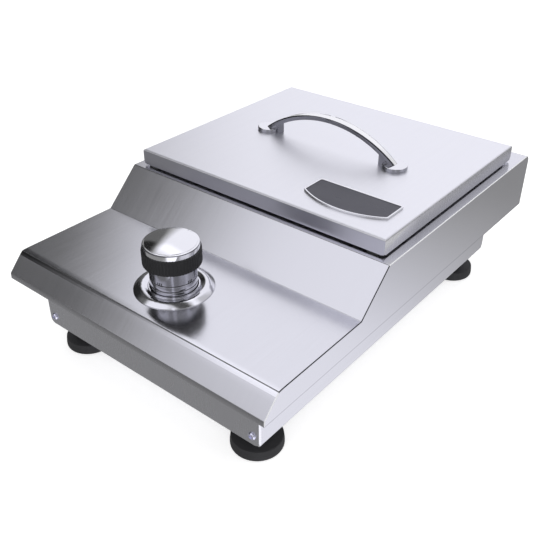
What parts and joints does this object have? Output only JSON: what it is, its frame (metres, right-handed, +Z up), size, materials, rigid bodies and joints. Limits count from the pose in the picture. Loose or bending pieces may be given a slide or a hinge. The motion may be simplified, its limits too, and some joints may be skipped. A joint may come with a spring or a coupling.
{
  "type": "built in side burner",
  "caption": "Drop-in gas side burner: stepped steel trim with a sloped front lip, burner box on rubber feet, lift-off lid with a bow handle, and a push-and-turn knob.",
  "frame": {"origin": "on the surface it stands on, under the middle of the trim's outline", "axes": "+Z up, -Y to the front with the knob and the sloped lip, +X to the right seen from the front"},
  "size_m": [0.33, 0.477, 0.2015],
  "materials": {
    "trim_steel": "brushed",
    "box_steel": "brushed",
    "inner_steel": "plain",
    "lid_steel": "brushed",
    "chrome": "polished",
    "zinc_steel": "zinc plated",
    "foot_rubber": "matt",
    "grip_rubber": "matt",
    "pad_rubber": "matt",
    "cast_alloy": "as cast",
    "enamel": "satin enamel",
    "valve_brass": "machined",
    "black_plastic": "moulded",
    "white_ceramic": "glazed",
    "lead_jacket": "silicone",
    "plate_metal": "lacquered"
  },
  "bodies": {
    "base": {"top_trim": "trim_steel", "box_shell": "box_steel", "front_panel": "box_steel", "rear_panel": "box_steel", "heat_shield": "inner_steel", "panel_screws": "zinc_steel", "panel_nuts": "zinc_steel", "rubber_feet": "foot_rubber", "foot_washers": "zinc_steel", "foot_screws": "zinc_steel", "foot_nuts": "zinc_steel", "spill_pan": "inner_steel", "burner_base": "cast_alloy", "venturi_tube": "inner_steel", "burner_head": "cast_alloy", "electrode_ceramic": "white_ceramic", "electrode_clip": "zinc_steel", "electrode_tip": "zinc_steel", "igniter_lead": "lead_jacket", "piezo_igniter": "black_plastic", "orifice": "valve_brass", "valve_body": "valve_brass", "bonnet_nut": "zinc_steel", "valve_bracket": "zinc_steel", "deck_studs": "zinc_steel", "stud_nuts": "zinc_steel", "bezel": "chrome", "bezel_retainer": "zinc_steel", "gas_pipe": "valve_brass", "gas_inlet": "valve_brass", "inlet_locknut": "valve_brass"},
    "lid": {"lid_shell": "lid_steel", "lid_pads": "pad_rubber", "handle_discs": "chrome", "handle_bow": "chrome", "handle_screws": "zinc_steel", "handle_washers": "zinc_steel", "nameplate": "plate_metal"},
    "grate": {"grate_frame": "enamel", "grate_bars": "enamel"},
    "burner_cap": {"burner_cap": "enamel"},
    "air_shutter": {"air_shutter": "zinc_steel"},
    "stem_collar": {"stem_collar": "valve_brass"},
    "knob": {"valve_stem": "zinc_steel", "knob_core": "black_plastic", "knob_skirt": "chrome", "knob_grip": "grip_rubber", "knob_cap": "chrome"}
  },
  "joints": [
    {"name": "lid_lift", "type": "slide", "parent": "base", "child": "lid", "axis": [0, 0, 1], "range_m": [0, 0.15]},
    {"name": "grate_lift", "type": "slide", "parent": "base", "child": "grate", "axis": [0, 0, 1], "range_m": [0, 0.005]},
    {"name": "burner_cap_lift", "type": "slide", "parent": "base", "child": "burner_cap", "axis": [0, 0, 1], "range_m": [0, 0.006]},
    {"name": "air_shutter_turn", "type": "hinge", "parent": "base", "child": "air_shutter", "pos_m": [0, -0.105, 0.066], "axis": [0, 1, 0], "range_deg": [0, 60]},
    {"name": "knob_push", "type": "slide", "parent": "base", "child": "stem_collar", "axis": [0, 0, -1], "range_m": [0, 0.003], "stiffness_N_per_m": 1500, "springref_m": -0.004},
    {"name": "knob_turn", "type": "hinge", "parent": "stem_collar", "child": "knob", "pos_m": [0, -0.16975, 0.13], "axis": [0, 0, 1], "range_deg": [0, 210]}
  ]
}
